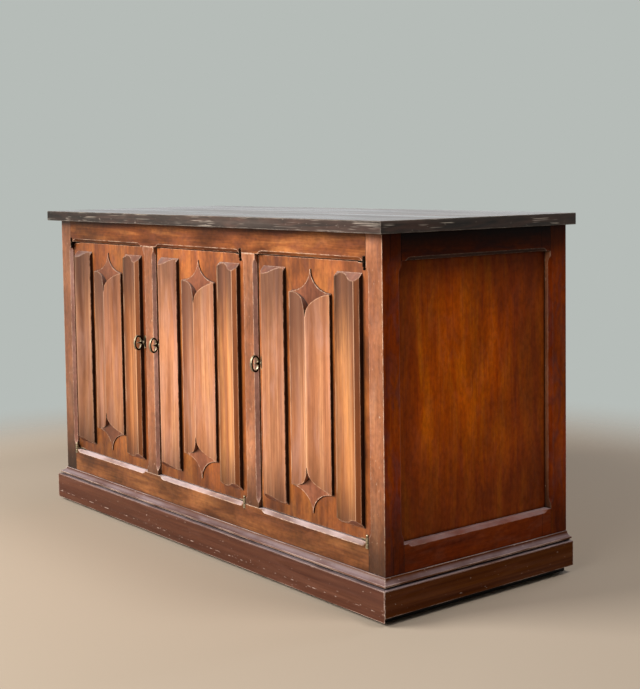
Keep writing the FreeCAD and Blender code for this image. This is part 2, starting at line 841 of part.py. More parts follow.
def make_side_folds(door, bay):
    """Hollow mouldings beside the centre fold, with ends bevelled one for one."""
    middle = f"{bay} * bay_pitch"
    for side, sign in (("left", -1), ("right", 1)):
        name = f"door_{door}_fold_{side}"

        def corner(along, height, bend=None):
            spot = (f"{middle} + {sign} * ({along})", f"door_face - ({height})")
            return spot + ((f"{sign} * ({bend})",) if bend else ())

        profile = [
            corner("fold_inner", "0"),
            corner("fold_inner", "fold_edge", "-fold_cove"),
            corner("fold_hollow_at", "fold_hollow", "-fold_sweep"),
            corner("(fold_hollow_at + fold_ridge_at) / 2", "(fold_hollow + fold_ridge) / 2", "fold_sweep"),
            corner("fold_ridge_at", "fold_ridge"),
            corner("fold_outer", "fold_outer_edge"),
            corner("fold_outer", "0"),
        ]
        length = standing_prism(
            f"{name}_length", profile, "door_middle - fold_half_length", "door_middle + fold_half_length"
        )
        bevel = doc.addObject("Part::Wedge", f"{name}_bevel")
        for limit, words in {
            "Xmin": "-door_half",
            "Xmax": "door_half",
            "X2min": "-door_half",
            "X2max": "door_half",
            "Ymin": "-2 * fold_ridge",
            "Ymax": "0",
            "Zmin": "2 * fold_ridge - fold_half_length",
            "Zmax": "fold_half_length - 2 * fold_ridge",
            "Z2min": "-fold_half_length",
            "Z2max": "fold_half_length",
        }.items():
            bind(bevel, limit, words)
        place(bevel, middle, "door_face", "door_middle")
        piece(common(f"{name}_cut", length, bevel), name)


def star(name, bay, end, front, back):
    """Four-pointed star with hollow oval sides, between two places on Y; end is +1 at the top."""
    middle = f"{bay} * bay_pitch"
    height = f"door_middle + {end} * star_offset"
    block = box(
        f"{name}_block",
        (f"{middle} - centre_half", f"{middle} + centre_half"),
        (front, back),
        (f"{height} - star_half_height", f"{height} + star_half_height"),
    )
    hollows = [
        oval(
            f"{name}_hollow",
            "centre_half - star_tip / 2",
            "star_half_height - star_tip / 2",
            f"{back} - ({front})",
            (f"{middle} + {across} * centre_half", front, f"{height} + {up} * star_half_height"),
            X_WAY,
            Y_WAY,
        )
        for across in (-1, 1)
        for up in (-1, 1)
    ]
    return cut(name, block, hollows)


def make_centre_fold(door, bay):
    """Double fold with a creased ridge, whose lobed ends fit round the stars."""
    middle = f"{bay} * bay_pitch"
    name = f"door_{door}_fold_centre"

    def corner(sign, along, height, bend=None):
        spot = (f"{middle} + {sign} * ({along})", f"door_face - ({height})")
        return spot + ((bend,) if bend else ())

    swell = ("(centre_hollow_at - centre_crease) / 2", "(centre_hollow + centre_crown) / 2")
    profile = [
        corner(-1, "centre_half", "0"),
        corner(-1, "centre_half", "centre_edge", "-centre_cove"),
        corner(-1, "centre_hollow_at", "centre_hollow", "-centre_sweep"),
        corner(-1, *swell, "centre_sweep"),
        corner(1, "0", "centre_ridge", "centre_sweep"),
        corner(1, *swell, "-centre_sweep"),
        corner(1, "centre_hollow_at", "centre_hollow", "-centre_cove"),
        corner(1, "centre_half", "centre_edge"),
        corner(1, "centre_half", "0"),
    ]
    length = standing_prism(
        f"{name}_length", profile, "door_middle - star_offset", "door_middle + star_offset"
    )
    notches = [
        star(f"{name}_notch_{end}", bay, sign, "door_face - 2 * centre_crown", "door_face")
        for end, sign in (("top", 1), ("bottom", -1))
    ]
    piece(cut(f"{name}_cut", length, notches), name)
    plates = [
        star(f"door_{door}_star_{end}", bay, sign, "door_face - star_thickness", "door_face")
        for end, sign in (("top", 1), ("bottom", -1))
    ]
    piece(group(f"door_{door}_star_group", plates), f"door_{door}_stars")


def make_latch(door, bay, hinge):
    """Escutcheon, key with a pierced bow, and the cam that it turns behind the frame."""
    axis = key_axis_x(bay, hinge)
    name = f"door_{door}_escutcheon"
    plate = oval(
        f"{name}_plate",
        "escutcheon_height / 2",
        "fold_margin / 2 - escutcheon_clear",
        "escutcheon_thickness",
        (axis, "door_face - escutcheon_thickness", "key_height"),
        Z_WAY,
        Y_WAY,
    )
    hole_at = (axis, "door_face - escutcheon_thickness", "key_height")
    hole = rod(f"{name}_hole", "spindle_diameter + 2 * spindle_fit", "escutcheon_thickness", hole_at, Y_WAY)
    piece(cut(f"{name}_cut", plate, [hole]), name)

    name = f"key_{door}"
    bow_at = (f"{axis} - bow_thickness / 2", "bow_middle", "key_height")
    bow = oval(f"{name}_bow", "bow_height / 2", "bow_width / 2", "bow_thickness", bow_at, Z_WAY, X_WAY)
    eye_height, eye_width = "bow_height / 2 - bow_bar", "bow_width / 2 - bow_bar"
    eye = oval(f"{name}_eye", eye_height, eye_width, "bow_thickness", bow_at, Z_WAY, X_WAY)
    stem_front = "bow_middle + bow_width / 2 - bow_bar / 2"
    stem_at = (axis, stem_front, "key_height")
    stem = rod(f"{name}_stem", "spindle_diameter", f"cam_front - ({stem_front})", stem_at, Y_WAY)
    cusp = doc.addObject("Part::Cone", f"{name}_cusp")
    bind(cusp, "Radius1", "spindle_diameter / 2")
    bind(cusp, "Radius2", "bow_cusp_tip / 2")
    bind(cusp, "Height", "bow_cusp + bow_bar / 2")
    cusp.Placement.Rotation = FreeCAD.Rotation(Z_WAY, Y_WAY * -1)
    place(cusp, *stem_at)
    collar_at = (axis, "door_face - escutcheon_thickness - collar_clear - collar_length", "key_height")
    collar = rod(f"{name}_collar", "collar_diameter", "collar_length", collar_at, Y_WAY)
    square_x = (f"{axis} - cam_square / 2", f"{axis} + cam_square / 2")
    square_z = ("key_height - cam_square / 2", "key_height + cam_square / 2")
    cam_y = ("cam_front", "cam_front + cam_thickness")
    square = box(f"{name}_square", square_x, cam_y, square_z)
    pierced = cut(f"{name}_pierced", bow, [eye])
    piece(fuse(f"{name}_joined", [pierced, stem, cusp, collar, square]), name)

    name = f"latch_cam_{door}"
    reach = "key_inset + door_gap + cam_overlap"
    width = (f"{axis} - cam_width / 2", f"{axis} + cam_width / 2")
    arm = box(f"{name}_arm", width, cam_y, ("key_height", f"key_height + {reach}"))
    hub = rod(f"{name}_hub", "cam_width", "cam_thickness", (axis, "cam_front", "key_height"), Y_WAY)
    seat = box(f"{name}_seat", square_x, cam_y, square_z)
    piece(cut(f"{name}_cut", fuse(f"{name}_blank", [arm, hub]), [seat]), name)


make_top_slab()
make_posts()
make_front_rails()
make_mullions()
make_side_frames()
make_back_and_bottom()
make_partitions_and_shelves()
make_base()
make_pivot_plates()
for door_name, door_bay, hinge_side in DOORS:
    make_door_slab(door_name, door_bay, hinge_side)
    make_side_folds(door_name, door_bay)
    make_centre_fold(door_name, door_bay)
    make_pivot_leaves(door_name, door_bay, hinge_side)
    make_latch(door_name, door_bay, hinge_side)
doc.recompute()

for thing in doc.Objects:
    if "Invalid" in thing.State or "Error" in thing.State:
        raise RuntimeError(f"{thing.Label} failed to build: {thing.State}")
for label, thing in pieces:
    if thing.Label != label:
        raise RuntimeError(f"{label} is named twice")
    if thing.Shape.isNull() or not thing.Shape.isValid() or not thing.Shape.Solids:
        raise RuntimeError(f"{label} is not a sound solid")

os.makedirs("parts", exist_ok=True)
for label, thing in pieces:
    thing.Shape.exportStep(f"parts/{label}.step")
print(len(pieces), "sub-parts written")
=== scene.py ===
"""Credenza with three linenfold doors, in old lacquered walnut with aged brass fittings."""

import json
import math
from dataclasses import dataclass
from functools import partial

import bmesh
import bpy
from mathutils import Matrix, Vector


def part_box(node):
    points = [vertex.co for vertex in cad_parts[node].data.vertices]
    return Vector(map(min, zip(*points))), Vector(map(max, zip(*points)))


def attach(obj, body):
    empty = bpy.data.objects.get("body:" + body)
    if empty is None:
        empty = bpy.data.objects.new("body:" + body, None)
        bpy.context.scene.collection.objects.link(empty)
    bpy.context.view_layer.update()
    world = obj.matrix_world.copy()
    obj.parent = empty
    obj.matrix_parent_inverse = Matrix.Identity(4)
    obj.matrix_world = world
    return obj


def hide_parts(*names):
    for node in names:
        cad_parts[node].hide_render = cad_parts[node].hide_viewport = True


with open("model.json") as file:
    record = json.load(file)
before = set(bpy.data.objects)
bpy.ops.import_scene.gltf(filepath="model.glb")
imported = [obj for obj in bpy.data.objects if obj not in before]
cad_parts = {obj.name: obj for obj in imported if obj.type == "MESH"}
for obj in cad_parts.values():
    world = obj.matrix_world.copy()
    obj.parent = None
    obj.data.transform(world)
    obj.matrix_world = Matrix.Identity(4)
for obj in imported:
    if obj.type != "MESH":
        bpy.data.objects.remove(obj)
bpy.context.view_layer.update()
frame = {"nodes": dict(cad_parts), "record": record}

MM = 0.001
BODY_OF = {node: body for body, nodes in frame["record"]["behaviour"]["bodies"].items() for node in nodes}

# Settings that many nodes share.
COLOURS = {"data_type": "RGBA"}
SMOOTH = {"interpolation_type": "SMOOTHSTEP"}
TIMES = {"operation": "MULTIPLY"}
TIMES_PLUS = {"operation": "MULTIPLY_ADD"}
LESS = {"operation": "SUBTRACT"}
MOST = {"operation": "MAXIMUM"}
SIZE = {"operation": "ABSOLUTE"}
LENGTH = {"operation": "LENGTH"}
SCALED = {"operation": "SCALE"}


def linear(colour):
    """Linear RGBA of an sRGB hex colour."""
    parts = [int(colour[at : at + 2], 16) / 255 for at in (1, 3, 5)]
    return (*[part / 12.92 if part <= 0.04045 else ((part + 0.055) / 1.055) ** 2.4 for part in parts], 1)


def add(tree, kind, settings=None, inputs=None, stops=()):
    """Add a node with its own settings, its inputs by name or place, and the stops of its ramp.

    Inputs 1 to 4 of a MapRange are the two ends of what comes in, then what goes out at each of them.
    """
    node = tree.nodes.new(f"ShaderNode{kind}")
    for name, value in (settings or {}).items():
        setattr(node, name, value)
    for _ in stops[2:]:
        node.color_ramp.elements.new(1)
    for index, (where, tone) in enumerate(stops):
        stop = node.color_ramp.elements[index]
        stop.position = where
        stop.color = linear(tone) if isinstance(tone, str) else (tone, tone, tone, 1)
    for key, value in (inputs or {}).items():
        named = [socket for socket in node.inputs if socket.enabled and socket.name == key]
        socket = node.inputs[key] if isinstance(key, int) else named[0]
        if isinstance(value, bpy.types.NodeSocket):
            tree.links.new(value, socket)
        else:
            socket.default_value = linear(value) if isinstance(value, str) else value
    return next(socket for socket in node.outputs if socket.enabled)


def new_material(name):
    material = bpy.data.materials.new(name)
    material.use_nodes = True
    tree = material.node_tree
    tree.nodes.clear()
    return material, tree


def finish_material(tree, shader):
    tree.links.new(shader, tree.nodes.new("ShaderNodeOutputMaterial").inputs["Surface"])


@dataclass
class Crest:
    """Ridge along a fold. Places across the fold are shares of its width."""

    at: float  # where the ridge is
    step: float  # share of the width that 1 mm takes
    lee: float  # share of painted shade, as dark glaze, on the slope to the left, at its top
    polish: float  # share of pale wood on the ridge, partly rubbed and partly a painted highlight


@dataclass
class Age:
    """How age, and the painted shade, light and sheen that stand in for lighting, show on a board. Shares run
    from 0 to 1, sizes are in mm and colours are sRGB.
    """

    worn: str = "#efcfb6"  # bare wood under the stain
    grime: str = "#160803"  # grime and painted shade in corners and along steps, and dark seams
    wear: float = 0.9  # share of the stain that is rubbed off an arris
    reach: float = 2.8  # how far from an arris the rubbing goes
    joined: bool = False  # whether a rail and a post meet flush on it
    nicks: float = 0.0  # share of bare wood in a knock
    scratches: float = 0.0  # share of bare wood in a scratch
    drifts: float = 0.4  # share of heartwood in a drift
    mauve: str = "#8a5f50"  # heartwood; on the left folds it is pinker, as a painted sheen
    dust: float = 0.0  # share of dust and painted sheen on what faces up
    film: str = "#a8979a"  # colour of dust, wax bloom and painted sky sheen
    mottle: float = 0.28  # how far a cloud in the lacquer darkens it
    fleck: float = 0.18  # how far a fleck in the lacquer darkens it
    stretch: float = 1  # how many times longer than usual the grain is
    corner: float = 12  # how wide a corner the grime and painted shade fill
    darker_left: tuple = (0, 0)  # share of light lost at the left end as painted shade, and the x in metres where that starts
    hood: float = 0.0  # share of light lost under the top as painted shade
    foot: float = 0.0  # share of light lost toward the foot of the case as painted shade
    crest: Crest = None  # ridge, where the board is a fold
    scuff: float = 0  # height of a broom's scuff over the floor
    spread: tuple = (0, 0, 0)  # how fast the paler middle gives way along each axis
    centre: tuple = (0.5, 0.5, 0.42)  # middle of that paler part, in shares of the piece's box
    paler_middle: float = 0.0  # how much paler the middle is painted, as a pool of light
    smoke: float = 0.0  # share of smoky glaze toward the ends, partly painted shade
    glaze: str = "#63403a"  # smoky glaze, also used as painted shade
    roughness: tuple = (0.3, 0.46)  # least and most
    shine: float = 0.3  # specular level


BOARD_SPREAD = 83.0  # steps of grain that the boards are spread over, so that no two share a figure
STREAK_SHARE = 0.24
PORE_SHARE = 0.35
GRIME_SHARE = 0.85
SEAM_SHARE = 0.6
LACQUER_IOR = 1.5
STEP_REACH = 4  # mm over which a small step catches grime and painted shade, and shields wood from rubbing
JOINT_REACH = 3  # mm to each side of a joint that aren't rubbed
SOOT_REACH = 115  # mm under the top that are painted in shade
MOP_REACH = 210  # mm over the base cap over which the painted shade at the foot fades in
MOP_LINE = 5  # mm over the base cap where that painted shade is darkest
CASE_LEFT = -0.7  # x of the case's left end in metres


def grain_noise(tree, axis, width, length, detail, bend=0.0):
    """Soft patches of a width across the grain and a length along it, in mm, which differ on each board."""
    place = add(tree, "TexCoord").node.outputs["Object"]
    steps = [1 / (width * MM)] * 3
    steps["XYZ".index(axis)] = 1 / (length * MM)
    board = add(tree, "ObjectInfo").node.outputs["Random"]
    shift = add(tree, "Math", TIMES, {0: board, 1: BOARD_SPREAD})
    at = add(tree, "VectorMath", TIMES_PLUS, {0: place, 1: steps, 2: shift})
    inputs = {"Vector": at, "Scale": 1.0, "Detail": detail, "Roughness": 0.55, "Distortion": bend}
    return add(tree, "TexNoise", None, inputs)


def walnut_figure(tree, noise, tones, age):
    """Colour of the board's long figure, finer streaks and pores, and the relief of the last two."""
    dark, middle, light = tones
    figure = noise(38 / age.stretch**0.5, 260 * age.stretch, detail=4.0, bend=0.8 / age.stretch)
    streak = noise(3.6, 110 * age.stretch, detail=2.0)
    grain = add(tree, "Mix", None, {"Factor": STREAK_SHARE, "A": figure, "B": streak})
    colour = add(tree, "ValToRGB", None, {"Fac": grain}, [(0.32, dark), (0.5, middle), (0.7, light)])

    # Pores are 0.2 mm wide in life and drawn 1.2 mm wide, so that they show at all.
    pore = add(tree, "ValToRGB", None, {"Fac": noise(1.2, 16, detail=1.0)}, [(0.6, 0.0), (0.74, 1.0)])
    pored = add(tree, "Math", TIMES, {0: pore, 1: PORE_SHARE})
    colour = add(tree, "Mix", COLOURS, {"Factor": pored, "A": colour, "B": dark})

    # A greyer, more mauve heartwood shows through in drifts.
    heart = noise(28, 75 * age.stretch, detail=3.0, bend=1.2)
    drift = add(tree, "ValToRGB", None, {"Fac": heart}, [(0.46, 0.0), (0.66, age.drifts)])
    colour = add(tree, "Mix", COLOURS, {"Factor": drift, "A": colour, "B": age.mauve})
    relief = add(tree, "Math", TIMES_PLUS, {0: pore, 1: -0.6, 2: streak})
    return colour, relief


def clouded_lacquer(tree, noise, colour, age):
    """Colour under lacquer that has darkened in clouds a hand wide and flecks a fingertip wide, and the
    clouds themselves."""
    cloud = noise(85 / age.stretch**0.5, 150 * age.stretch, detail=3.0)
    ends = {1: 0.34, 2: 0.66, 3: 1 - age.mottle, 4: 1 + 0.7 * age.mottle}
    clouds = add(tree, "MapRange", None, {"Value": cloud, **ends})
    ends = {1: 0.34, 2: 0.6, 3: 1 - age.fleck, 4: 1 + 0.45 * age.fleck}
    flecks = add(tree, "MapRange", None, {"Value": noise(8, 12 * age.stretch, detail=3.0), **ends})
    light = add(tree, "Math", TIMES, {0: clouds, 1: flecks})
    if any(age.spread):
        # The middle of the piece is painted paler, as a pool of light, and a smoky glaze, partly painted
        # shade, darkens it toward its ends.
        box = add(tree, "TexCoord").node.outputs["Generated"]
        off = add(tree, "VectorMath", LESS, {0: box, 1: age.centre})
        faded = add(tree, "VectorMath", TIMES, {0: off, 1: age.spread})
        away = add(tree, "VectorMath", LENGTH, {0: faded}).node.outputs["Value"]
        ends = {1: 0.15, 2: 1.25, 3: 1 + age.paler_middle, 4: 1 - age.paler_middle / 2}
        thinner = add(tree, "MapRange", SMOOTH, {"Value": away, **ends})
        light = add(tree, "Math", TIMES, {0: light, 1: thinner})
        waver = noise(9, 60 * age.stretch, detail=3.0)
        edge = add(tree, "Math", TIMES_PLUS, {0: waver, 1: 0.8, 2: away})
        haze = add(tree, "MapRange", SMOOTH, {"Value": edge, 1: 0.8, 2: 1.5, 3: 0.0, 4: age.smoke})
        colour = add(tree, "Mix", COLOURS, {"Factor": haze, "A": colour, "B": age.glaze})
    return add(tree, "VectorMath", SCALED, {0: colour, "Scale": light}), cloud


def grimy_corners(tree, colour, age):
    """Colour with grime and painted shade, deepest in corners narrower than a finger and a thin dark line
    along small steps, the share of grime and shade, and how clear of steps each place is."""
    nook = add(tree, "AmbientOcclusion", {"samples": 8}, {"Distance": age.corner * MM}).node.outputs["AO"]
    deep = add(tree, "ValToRGB", None, {"Fac": nook}, [(0.35, 1.0), (0.78, 0.0)])
    clear = add(tree, "AmbientOcclusion", {"samples": 12}, {"Distance": STEP_REACH * MM}).node.outputs["AO"]
    line = add(tree, "ValToRGB", None, {"Fac": clear}, [(0.55, 1.0), (0.86, 0.0)])
    dirt = add(tree, "Math", MOST, {0: deep, 1: line})
    dirtied = add(tree, "Math", TIMES, {0: dirt, 1: GRIME_SHARE})
    colour = add(tree, "Mix", COLOURS, {"Factor": dirtied, "A": colour, "B": age.grime})
    return colour, dirt, clear


def near_joint(tree):
    """How near a place is to a joint of rail and post: 1 at the joint, 0 beyond its reach."""
    post_low, post_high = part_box("front_post_right")
    back_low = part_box("back_post_right")[0]
    place = add(tree, "TexCoord").node.outputs["Object"]
    mirrored = add(tree, "VectorMath", SIZE, {0: place})
    across = add(tree, "SeparateXYZ", None, {0: mirrored}).node.outputs
    near = None
    for way, joint in (("X", post_low.x), ("Y", -post_high.y), ("Y", back_low.y)):
        off = add(tree, "Math", LESS, {0: across[way], 1: joint})
        gap = add(tree, "Math", SIZE, {0: off})
        close = add(tree, "MapRange", None, {"Value": gap, 1: 0.0, 2: JOINT_REACH * MM, 3: 1.0, 4: 0.0})
        near = add(tree, "Math", MOST, {0: near, 1: close}) if near else close
    top_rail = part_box("front_top_rail")[0].z
    bottom_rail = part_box("front_bottom_rail")[1].z
    high = add(tree, "Math", {"operation": "GREATER_THAN"}, {0: across["Z"], 1: top_rail})
    low = add(tree, "Math", {"operation": "LESS_THAN"}, {0: across["Z"], 1: bottom_rail})
    beside_rail = add(tree, "Math", MOST, {0: high, 1: low})
    return add(tree, "Math", TIMES, {0: near, 1: beside_rail})


def rubbed_arrises(tree, noise, normal, clear, age):
    """Share of stain rubbed off along arrises, in patches. The rubbed line is under 1 mm wide in life, and
    is drawn up to 2 mm wide so that it shows."""
    soft = add(tree, "Bevel", {"samples": 6}, {"Radius": age.reach * MM})
    turn = add(tree, "VectorMath", {"operation": "DOT_PRODUCT"}, {0: normal, 1: soft}).node.outputs["Value"]
    arris = add(tree, "ValToRGB", None, {"Fac": turn}, [(0.96, 1.0), (0.995, 0.0)])
    patch = noise(6, 18 * age.stretch, detail=3.0)
    patchy = add(tree, "ValToRGB", None, {"Fac": patch}, [(0.42, 0.2), (0.55, 1.0)])
    touched = add(tree, "ValToRGB", None, {"Fac": clear}, [(0.88, 0.0), (0.98, age.wear)])
    rubbed = add(tree, "Math", TIMES, {0: arris, 1: patchy})
    return add(tree, "Math", TIMES, {0: rubbed, 1: touched})


def polished_crest(tree, colour, crest, glaze):
    """Colour of a fold and the share of pale wood on its crest, partly rubbed and partly a painted highlight.
    On a wide fold, painted shade is a dark line in the lee of the crest and dark glaze on the slope to its
    left toward the top, and the slope to its right is painted paler toward the top as painted light."""
    at, step, polish = crest.at, crest.step, crest.polish
    box = add(tree, "TexCoord").node.outputs["Generated"]
    place = add(tree, "SeparateXYZ", None, {0: box}).node.outputs
    across, up = place["X"], place["Z"]
    if crest.lee:
        # Painted shade: dark glaze on the slope left of the crest, deepest at the top, and a dark line in its
        # lee.
        high = add(tree, "MapRange", SMOOTH, {"Value": up, 1: 0.25, 2: 0.95, 3: 0.0, 4: crest.lee})
        slope = add(tree, "MapRange", None, {"Value": across, 1: at, 2: at - 3 * step, 3: 0.0, 4: high})
        stops = [(at - 5 * step, 0.0), (at - 2 * step, 0.5), (at - 0.5 * step, 0.0)]
        line = add(tree, "ValToRGB", None, {"Fac": across}, stops)
        kept = add(tree, "Math", MOST, {0: slope, 1: line})
        colour = add(tree, "Mix", COLOURS, {"Factor": kept, "A": colour, "B": glaze})
        # Painted light: the slope right of the crest is paler toward the top.
        paler = add(tree, "MapRange", None, {"Value": up, 1: 0.1, 2: 0.8, 3: 1.0, 4: 1.1})
        lost = add(tree, "MapRange", None, {"Value": across, 1: at, 2: at + step, 3: 1.0, 4: paler})
        colour = add(tree, "VectorMath", SCALED, {0: colour, "Scale": lost})
    # A pale line on the crest, partly rubbed wood and partly a painted highlight.
    stops = [(at - 0.6 * step, 0.0), (at, polish), (at + 0.7 * step, polish), (at + 1.5 * step, 0.0)]
    return colour, add(tree, "ValToRGB", None, {"Fac": across}, stops)


def dimmed_ends(tree, colour, place, age):
    """Colour with painted shade: darker toward the left end of the case, under the overhang of the top, and
    toward the foot of the case."""
    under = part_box("top_slab")[0].z
    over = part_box("base_cap_front")[1].z
    left_loss, left_start = age.darker_left
    for loss, way, clean, dark_at in (
        (left_loss, "X", left_start, CASE_LEFT),
        (age.hood, "Z", under - SOOT_REACH * MM, under),
        (age.foot, "Z", over + MOP_REACH * MM, over + MOP_LINE * MM),
    ):
        if loss:
            ends = {1: clean, 2: dark_at, 3: 1.0, 4: 1 - loss}
            light = add(tree, "MapRange", SMOOTH, {"Value": place[way], **ends})
            colour = add(tree, "VectorMath", SCALED, {0: colour, "Scale": light})
    return colour


def knocked(tree, noise, colour, place, age):
    """Colour with the knocks, scuff and scratches that show the pale wood under the stain."""
    marks = []
    if age.nicks:
        # Knocks of a few millimetres.
        knock = add(tree, "ValToRGB", None, {"Fac": noise(5, 12, detail=2.0)}, [(0.7, 0.0), (0.74, 1.0)])
        marks.append((knock, age.nicks))
    if age.scuff:
        # A long broken scuff at the height of a broom's head.
        off = add(tree, "Math", LESS, {0: place["Z"], 1: age.scuff * MM})
        gap = add(tree, "Math", SIZE, {0: off})
        line = add(tree, "MapRange", None, {"Value": gap, 1: 0.5 * MM, 2: 1.2 * MM, 3: 1.0, 4: 0.0})
        dash = add(tree, "ValToRGB", None, {"Fac": noise(9, 13, detail=3.0)}, [(0.54, 0.0), (0.64, 0.5)])
        marks.append((line, dash))
    if age.scratches:
        # Long scratches, 0.3 mm wide in life and drawn 1.4 mm wide so that they show, in a few places only.
        score = add(tree, "ValToRGB", None, {"Fac": noise(1.4, 70, detail=0.0)}, [(0.66, 0.0), (0.72, 1.0)])
        spots = noise(60, 90, detail=1.0)
        spotted = add(tree, "ValToRGB", None, {"Fac": spots}, [(0.5, 0.0), (0.58, age.scratches)])
        marks.append((score, spotted))
    for mark, share in marks:
        marked = add(tree, "Math", TIMES, {0: mark, 1: share})
        colour = add(tree, "Mix", COLOURS, {"Factor": marked, "A": colour, "B": age.worn})
    return colour


def dusted(tree, noise, colour, normal, age):
    """Colour with dust and a painted pale sheen on what faces up, in drifts."""
    facing = add(tree, "SeparateXYZ", None, {0: normal}).node.outputs
    bloom = add(tree, "MapRange", None, {"Value": facing["Z"], 1: 0.45, 2: 0.8, 3: 0.0, 4: age.dust})
    lie = noise(60, 110, detail=4.0)
    drift = add(tree, "MapRange", None, {"Value": lie, 1: 0.36, 2: 0.6, 3: 0.3, 4: 1.0})
    share = add(tree, "Math", TIMES, {0: bloom, 1: drift})
    return add(tree, "Mix", COLOURS, {"Factor": share, "A": colour, "B": age.film})


def old_walnut(name, axis, tones, **marks):
    """Flat-sawn walnut under old lacquer: a long soft figure with fine dark pores, which the lacquer makes
    glow, black grime and painted shade in corners and along small steps, and bare pale wood along arrises
    that hands have rubbed."""
    age = Age(**marks)
    material, tree = new_material(name)
    noise = partial(grain_noise, tree, axis)
    normal = add(tree, "NewGeometry").node.outputs["Normal"]
    place = add(tree, "SeparateXYZ", None, {0: add(tree, "TexCoord").node.outputs["Object"]}).node.outputs

    colour, relief = walnut_figure(tree, noise, tones, age)
    colour, cloud = clouded_lacquer(tree, noise, colour, age)
    # Grime and painted shade in corners and along small steps.
    colour, dirt, clear = grimy_corners(tree, colour, age)
    rubbed = rubbed_arrises(tree, noise, normal, clear, age)
    if age.joined:
        # A flush joint between rail and post shows as a dark hairline and isn't rubbed.
        near = near_joint(tree)
        rubbed = add(tree, "MapRange", None, {"Value": near, 1: 0.0, 2: 0.3, 3: rubbed, 4: 0.0})
        seam = add(tree, "MapRange", None, {"Value": near, 1: 0.6, 2: 0.9, 3: 0.0, 4: SEAM_SHARE})
        colour = add(tree, "Mix", COLOURS, {"Factor": seam, "A": colour, "B": age.grime})
    if age.crest:
        colour, polished = polished_crest(tree, colour, age.crest, age.glaze)
        rubbed = add(tree, "Math", MOST, {0: rubbed, 1: polished})
    colour = add(tree, "Mix", COLOURS, {"Factor": rubbed, "A": colour, "B": age.worn})
    # Painted shade toward the left end, under the top and toward the foot.
    colour = dimmed_ends(tree, colour, place, age)
    colour = knocked(tree, noise, colour, place, age)
    # Dust, and a painted pale sheen of the sky, on what faces up.
    if age.dust:
        colour = dusted(tree, noise, colour, normal, age)

    smoothest, roughest = age.roughness
    gloss = add(tree, "MapRange", None, {"Value": cloud, 1: 0.3, 2: 0.7, 3: smoothest, 4: roughest})
    inputs = {
        "Base Color": colour,
        "Roughness": add(tree, "Math", TIMES_PLUS, {0: dirt, 1: 0.3, 2: gloss}),
        "IOR": LACQUER_IOR,
        "Specular IOR Level": age.shine,
        "Normal": add(tree, "Bump", None, {"Strength": 0.2, "Distance": 0.2 * MM, "Height": relief}),
    }
    finish_material(tree, add(tree, "BsdfPrincipled", None, inputs))
    return material


def aged_brass(name, bright, tarnish, share):
    """Cast brass that was never polished again: brown tarnish all over, bare metal where fingers rub."""
    material, tree = new_material(name)
    place = add(tree, "TexCoord").node.outputs["Object"]
    # Stains 5 mm wide, and rubbing that reaches 1.6 mm in from an edge.
    at = add(tree, "VectorMath", SCALED, {0: place, "Scale": 1 / (5 * MM)})
    cloud = add(tree, "TexNoise", None, {"Vector": at, "Scale": 1.0, "Detail": 4.0})
    inward = {"samples": 8, "inside": True, "only_local": True}
    edge = add(tree, "AmbientOcclusion", inward, {"Distance": 1.6 * MM}).node.outputs["AO"]
    rubbed = add(tree, "ValToRGB", None, {"Fac": edge}, [(0.35, 1.0), (0.75, 0.0)])
    stained = add(tree, "Math", TIMES_PLUS, {0: cloud, 1: share, 2: rubbed})
    patches = add(tree, "ValToRGB", None, {"Fac": stained}, [(0.2, 0.0), (0.8, 1.0)])
    nook = add(tree, "AmbientOcclusion", {"samples": 8}, {"Distance": 5 * MM}).node.outputs["AO"]
    clear = add(tree, "Math", TIMES, {0: patches, 1: nook})
    inputs = {
        "Base Color": add(tree, "Mix", COLOURS, {"Factor": clear, "A": tarnish, "B": bright}),
        "Metallic": 1.0,
        "Roughness": add(tree, "MapRange", None, {"Value": clear, 3: 0.58, 4: 0.3}),
        "Normal": add(tree, "Bump", None, {"Strength": 0.2, "Distance": 0.2 * MM, "Height": cloud}),
    }
    finish_material(tree, add(tree, "BsdfPrincipled", None, inputs))
    return material


FRAME_TONES = ("#7d482c", "#9d6443", "#b67f5c")
FRIEZE_TONES = ("#4f2410", "#7e4622", "#b0713f")
LOWER_TONES = ("#3f1c0c", "#673b1d", "#925e34")
GROUND_TONES = ("#743a12", "#9a5524", "#c07636")
FOLD_TONES = ("#754228", "#a36b48", "#d29c72")
LEFT_FOLD_TONES = ("#7b482e", "#aa7351", "#d8a47b")
RIGHT_FOLD_TONES = ("#723d1d", "#a0653b", "#d0965f")
STAR_TONES = ("#6c3a25", "#854e34", "#9b6346")
SIDE_TONES = ("#6e2402", "#8b3604", "#a24b09")
PANEL_TONES = ("#8a3402", "#a34802", "#ba6106")
PLINTH_TONES = ("#37180e", "#482416", "#593321")
SIDE_PLINTH_TONES = ("#351503", "#4c2306", "#60330b")
SHADED_TONES = ("#4c1702", "#642504", "#793309")
TOP_TONES = ("#1f1410", "#33241c", "#4a372c")
TOP_EDGE_TONES = ("#201815", "#342b27", "#4b413c")
RUNNER_TONES = ("#080605", "#0d0a08", "#15100c")
HALF_GLAZE_TONES = ("#683210", "#86491d", "#9e602e")
GLAZE_TONES = ("#180703", "#250c04", "#341406")
CHAMFER_TONES = ("#744a3c", "#8c6356", "#a27d72")
BARE_TONES = ("#7d5a3a", "#9c7650", "#b48e66")


def width_of(node):
    low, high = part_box(node)
    return (high.x - low.x) / MM


# Widths of the folds in mm, how far a side fold's ridge is from its outer edge, and where its crest, with its
# painted shade and highlight, is.
SIDE_FOLD = width_of("door_left_fold_left")
CENTRE_FOLD = width_of("door_left_fold_centre")
RIDGE_INSET = 10.0
LEFT_CREST = Crest(at=RIDGE_INSET / SIDE_FOLD, step=1 / SIDE_FOLD, lee=0, polish=0.2)
CENTRE_CREST = Crest(at=0.5, step=1 / CENTRE_FOLD, lee=0.75, polish=0.45)
RIGHT_CREST = Crest(at=1 - (RIDGE_INSET + 1) / SIDE_FOLD, step=1 / SIDE_FOLD, lee=0, polish=0.6)

SCUFF_HEIGHT = 26  # mm over the floor

